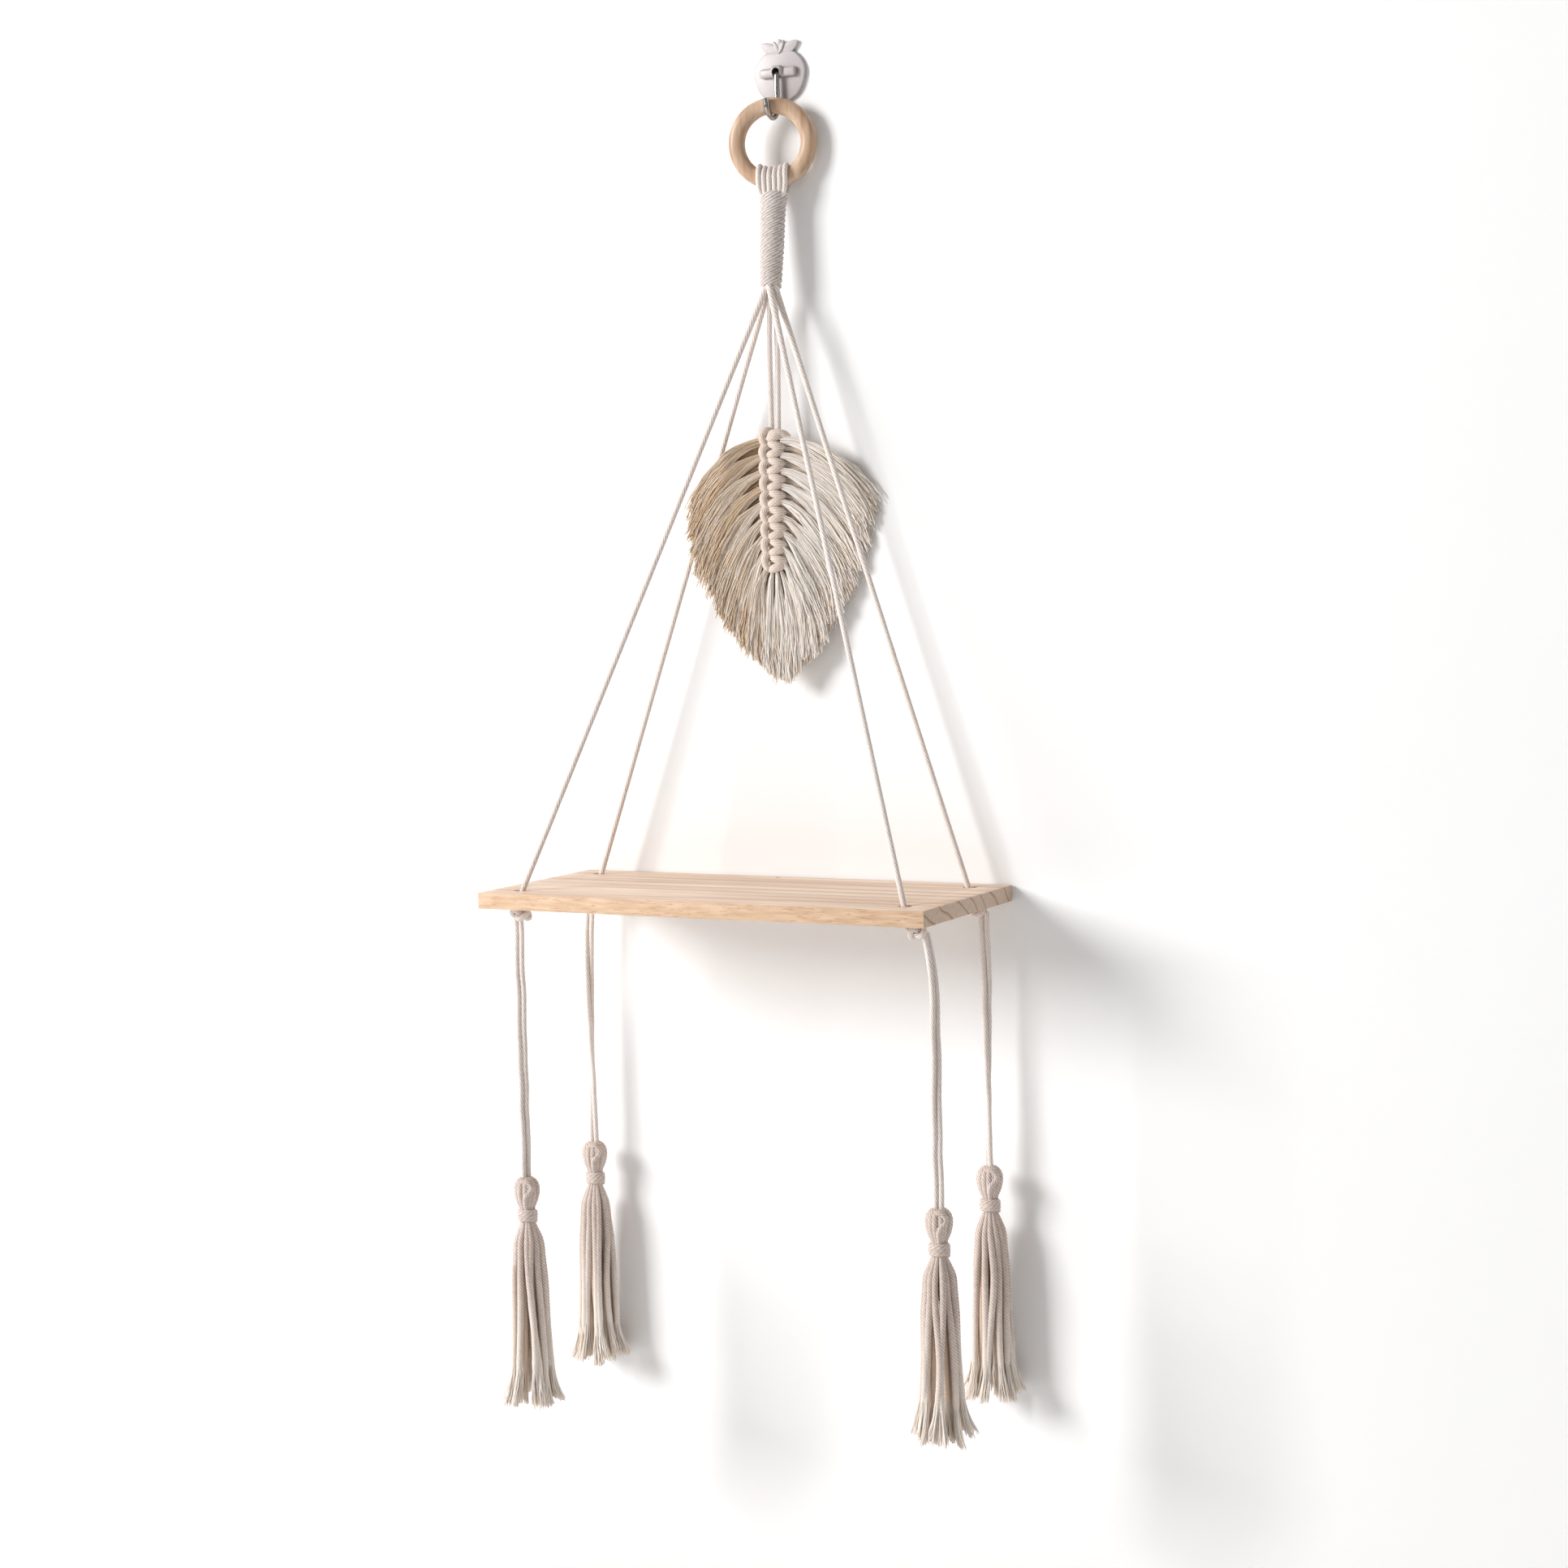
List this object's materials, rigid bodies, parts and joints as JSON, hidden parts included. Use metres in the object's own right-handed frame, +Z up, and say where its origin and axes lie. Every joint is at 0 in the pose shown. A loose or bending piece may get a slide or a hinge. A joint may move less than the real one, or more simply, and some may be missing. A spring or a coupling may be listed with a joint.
{
  "type": "macrame wall shelf with wall hook",
  "caption": "Narrow pine board hung on cotton cords from a wooden ring and a wall hook, with a knotted leaf above it and a tassel under each corner.",
  "frame": {"origin": "centre of the adhesive back face of the wall hook's plate, on the wall", "axes": "+Z up, +Y into the wall, +X to the right for someone who faces the wall"},
  "size_m": [0.3225, 0.1305, 0.8409],
  "materials": {
    "cotton": "twisted off-white cotton cord, matte",
    "leaf_cotton": "combed off-white cotton, matte",
    "pine": "sanded pine, unvarnished",
    "beech": "smooth satin beech",
    "white_plastic": "moulded white, semi-gloss",
    "steel": "bright plated wire"
  },
  "bodies": {
    "root": {"hook_plate": "white_plastic", "hook_wire": "steel", "wood_ring": "beech", "neck": "cotton", "leaf_cord_left": "cotton", "leaf_cord_right": "cotton", "leaf": "leaf_cotton", "board": "pine", "cord_front_left": "cotton", "tassel_front_left": "cotton", "tassel_band_front_left": "cotton", "cord_back_left": "cotton", "tassel_back_left": "cotton", "tassel_band_back_left": "cotton", "cord_front_right": "cotton", "tassel_front_right": "cotton", "tassel_band_front_right": "cotton", "cord_back_right": "cotton", "tassel_back_right": "cotton", "tassel_band_back_right": "cotton"}
  },
  "joints": []
}
